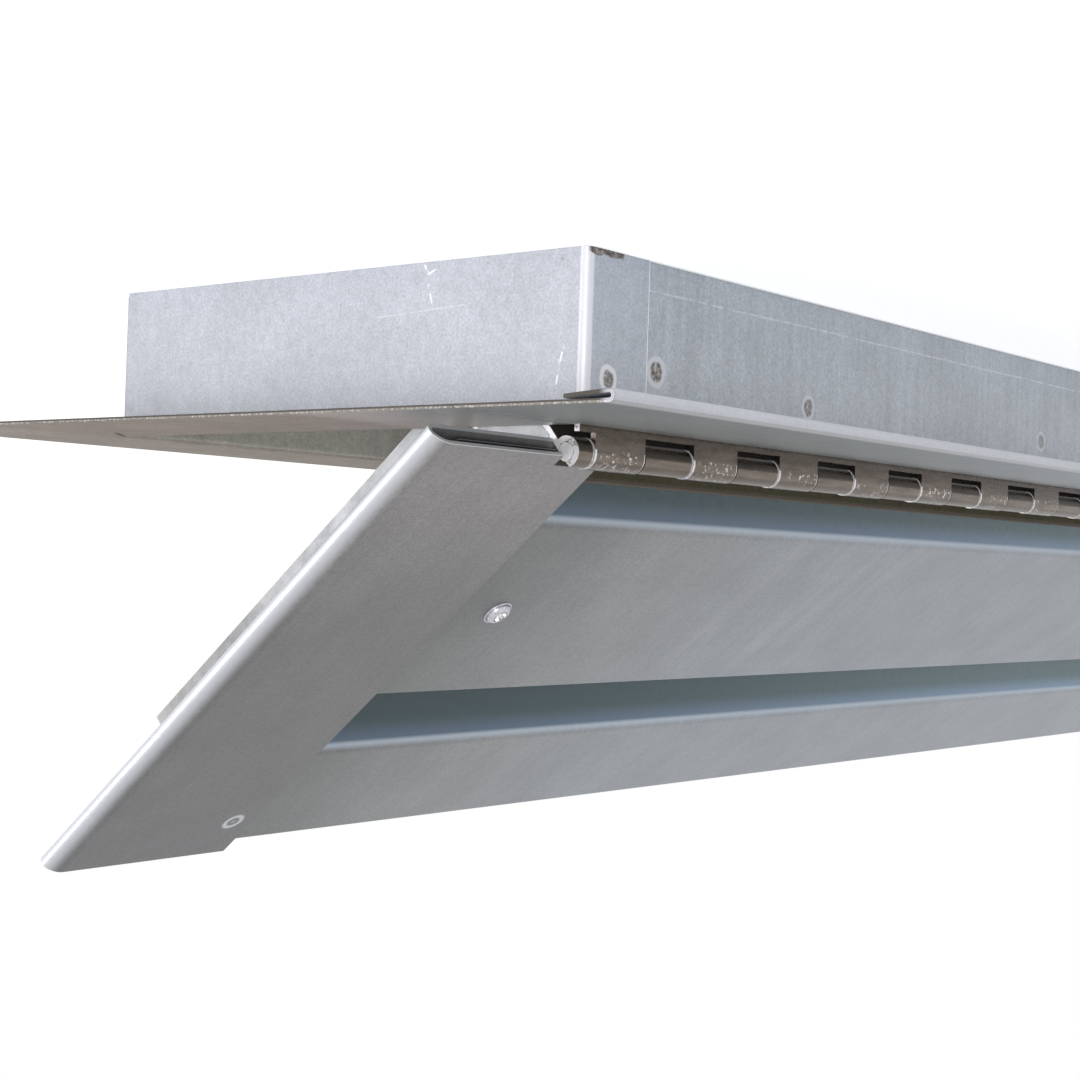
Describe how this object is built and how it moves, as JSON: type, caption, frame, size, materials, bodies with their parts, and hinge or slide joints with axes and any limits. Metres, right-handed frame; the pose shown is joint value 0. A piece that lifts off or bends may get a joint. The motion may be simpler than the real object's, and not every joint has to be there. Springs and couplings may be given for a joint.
{
  "type": "hinged soffit vent",
  "caption": "Galvanised sheet soffit vent: rectangular flanged collar with a louvred tray door on a continuous hinge along one long side.",
  "frame": {"origin": "centre of the rectangle that bounds the vent, on the level that the collar's rim stands on", "axes": "+X along the hinge, +Y towards the hinge side, +Z out of the collar towards the flange's room face and the door; installed, the vent is turned over so that +Z points down"},
  "size_m": [0.6148, 0.1562, 0.098],
  "materials": {
    "galvanised_sheet": "zinc-coated, satin",
    "hinge_steel": "plated, polished",
    "screw_steel": "zinc-plated"
  },
  "bodies": {
    "frame": {"hinge_side_rail": "galvanised_sheet", "far_side_rail": "galvanised_sheet", "end_piece_near": "galvanised_sheet", "end_piece_far": "galvanised_sheet", "hinge_frame_leaf": "hinge_steel", "hinge_pin": "hinge_steel"},
    "door": {"hinge_door_leaf": "hinge_steel", "end_stile_near": "galvanised_sheet", "end_stile_far": "galvanised_sheet", "upper_blade": "galvanised_sheet", "lower_blade": "galvanised_sheet", "tray_hinge_wall": "galvanised_sheet", "closing_screw_near": "screw_steel", "closing_screw_far": "screw_steel"}
  },
  "joints": [
    {"name": "door_hinge", "type": "hinge", "parent": "frame", "child": "door", "pos_m": [0, 0.0487, 0.0295], "axis": [-1, 0, 0], "range_deg": [-40, 140]}
  ]
}
